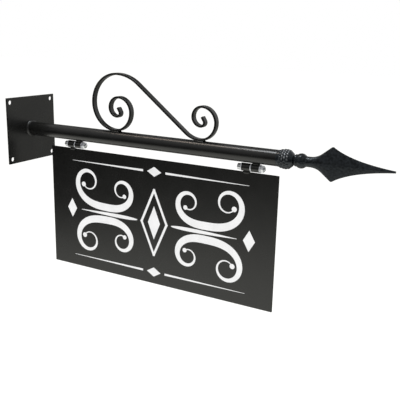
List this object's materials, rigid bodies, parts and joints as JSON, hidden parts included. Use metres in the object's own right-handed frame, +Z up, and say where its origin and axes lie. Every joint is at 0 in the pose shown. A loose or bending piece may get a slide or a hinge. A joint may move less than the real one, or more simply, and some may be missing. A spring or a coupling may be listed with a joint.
{
  "type": "projecting trade sign",
  "caption": "Black sign panel with a white ornament, swinging on bolted hinges below a round wall arm with a bent scroll on top and a spear finial.",
  "frame": {"origin": "middle of the wall plate's back face, on the wall and on the arm's axis", "axes": "+X along the arm away from the wall, +Z up, +Y across the panel"},
  "size_m": [0.8948, 0.16, 0.4866],
  "materials": {
    "black_paint": "satin black powder coat",
    "casting": "black painted casting",
    "zinc": "bright zinc plate"
  },
  "bodies": {
    "bracket": {"wall_plate": "black_paint", "arm_tube": "black_paint", "arm_weld": "black_paint", "scroll_bar": "black_paint", "rear_scroll_weld": "black_paint", "front_scroll_weld": "black_paint", "tube_plug": "zinc", "finial_stud": "zinc", "finial_ball": "casting", "finial_spear": "casting", "rear_arm_knuckle": "black_paint", "front_arm_knuckle": "black_paint", "rear_arm_knuckle_weld": "black_paint", "front_arm_knuckle_weld": "black_paint", "rear_hinge_bolt": "zinc", "front_hinge_bolt": "zinc", "rear_hinge_nut": "zinc", "front_hinge_nut": "zinc", "rear_head_washer": "zinc", "front_head_washer": "zinc", "rear_spacer_washer": "zinc", "front_spacer_washer": "zinc", "rear_nut_washer": "zinc", "front_nut_washer": "zinc"},
    "sign": {"sign_panel": "black_paint", "rear_panel_knuckle": "black_paint", "front_panel_knuckle": "black_paint", "rear_panel_weld": "black_paint", "front_panel_weld": "black_paint"}
  },
  "joints": [
    {"name": "sign_swing", "type": "hinge", "parent": "bracket", "child": "sign", "pos_m": [0.368, 0, -0.02685], "axis": [1, 0, 0], "range_deg": [-130, 130]}
  ]
}
